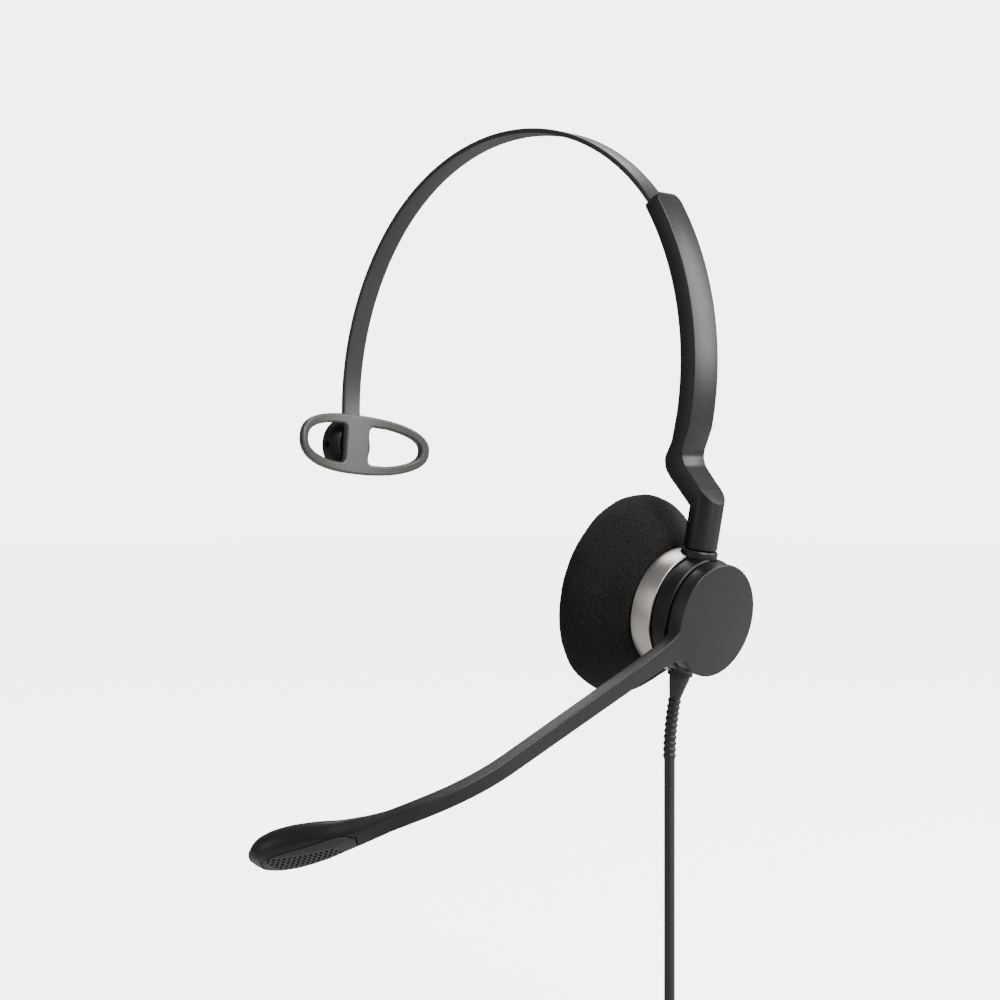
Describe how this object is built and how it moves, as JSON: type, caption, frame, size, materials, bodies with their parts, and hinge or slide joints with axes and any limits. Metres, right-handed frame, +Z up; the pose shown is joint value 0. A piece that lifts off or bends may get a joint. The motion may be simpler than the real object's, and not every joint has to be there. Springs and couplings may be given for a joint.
{
  "type": "office headset",
  "caption": "Over-the-head one-sided office headset: sprung band with a T-bar rest, sliding arm, foam ear cushion, swinging microphone boom and corded quick-release plug.",
  "frame": {"origin": "underside of the headband's crown, where the band rests on the top of the head", "axes": "+Z up the wearer's head, -Y the way the wearer faces, +X towards the ear cup"},
  "size_m": [0.1612, 0.1507, 0.271],
  "materials": {
    "satin_plastic": "warm dark grey satin plastic with a very fine moulded grain",
    "band_plastic": "dark grey satin plastic, slightly lighter where it faces up",
    "black_plastic": "black matte plastic",
    "spring_steel": "bright rolled steel",
    "satin_metal": "satin silver ring, turned",
    "ferrite": "dark sintered magnet",
    "frame_plastic": "dark moulded plastic",
    "copper": "enamelled copper wire",
    "film": "thin clear amber film",
    "board": "green circuit board",
    "felt": "black acoustic felt",
    "foam": "black open-cell foam",
    "soft_rubber": "black soft moulded rubber",
    "cord_jacket": "black matte cord jacket",
    "tie_fabric": "black woven hook tape",
    "clamp_nylon": "natural nylon",
    "brass_contact": "plated contact"
  },
  "bodies": {
    "headband": {"band_strip": "band_plastic", "band_core": "spring_steel", "slide_stop": "black_plastic", "band_tongue": "satin_plastic"},
    "t_bar": {"t_bar_loop": "band_plastic", "t_bar_boss": "black_plastic", "t_bar_pin": "spring_steel"},
    "slider_arm": {"arm_shell": "satin_plastic", "arm_liner": "black_plastic", "detent_spring": "spring_steel", "swivel_clip": "spring_steel"},
    "ear_cup": {"housing_front": "black_plastic", "trim_ring": "satin_metal", "speaker_bowl": "black_plastic", "socket_collar": "satin_plastic", "terminal_board": "board", "speaker_yoke": "spring_steel", "speaker_magnet": "ferrite", "pole_plate": "spring_steel", "speaker_frame": "frame_plastic", "voice_coil": "copper", "diaphragm": "film", "speaker_baffle": "black_plastic", "damping_felt": "felt", "foam_cushion": "foam", "friction_washer": "spring_steel", "cord_gland": "satin_plastic", "strain_relief": "soft_rubber", "cord_tail": "cord_jacket", "cord_clamp": "clamp_nylon", "cord_drop": "cord_jacket", "cord_coil": "cord_jacket", "coil_tie": "tie_fabric", "cord_lead": "cord_jacket", "plug_relief": "soft_rubber", "plug_shell_lower": "black_plastic", "plug_shell_upper": "black_plastic", "plug_tongue": "black_plastic", "plug_contact_1": "brass_contact", "plug_contact_2": "brass_contact", "plug_contact_3": "brass_contact", "plug_contact_4": "brass_contact"},
    "boom": {"boom_arm": "satin_plastic", "mic_lead": "cord_jacket", "grille_outer": "black_plastic", "grille_inner": "black_plastic", "mic_capsule": "spring_steel", "mic_boot": "soft_rubber", "wind_foam": "foam", "hub_screw": "spring_steel"}
  },
  "joints": [
    {"name": "t_bar_tilt", "type": "hinge", "parent": "headband", "child": "t_bar", "pos_m": [-0.0766, 0, -0.0902], "axis": [0, 1, 0], "range_deg": [-6, 10]},
    {"name": "arm_slide", "type": "hinge", "parent": "headband", "child": "slider_arm", "pos_m": [-0.0118, 0, -0.0703], "axis": [0, 1, 0], "range_deg": [0, 20]},
    {"name": "cup_swivel", "type": "hinge", "parent": "slider_arm", "child": "ear_cup", "pos_m": [0.0672, 0, -0.13895], "axis": [0.1994, 0, 0.9799], "range_deg": [-40, 40]},
    {"name": "boom_swing", "type": "hinge", "parent": "ear_cup", "child": "boom", "pos_m": [0.0768, 0, -0.1409], "axis": [-0.9799, 0, 0.1994], "range_deg": [-40, 265]}
  ]
}
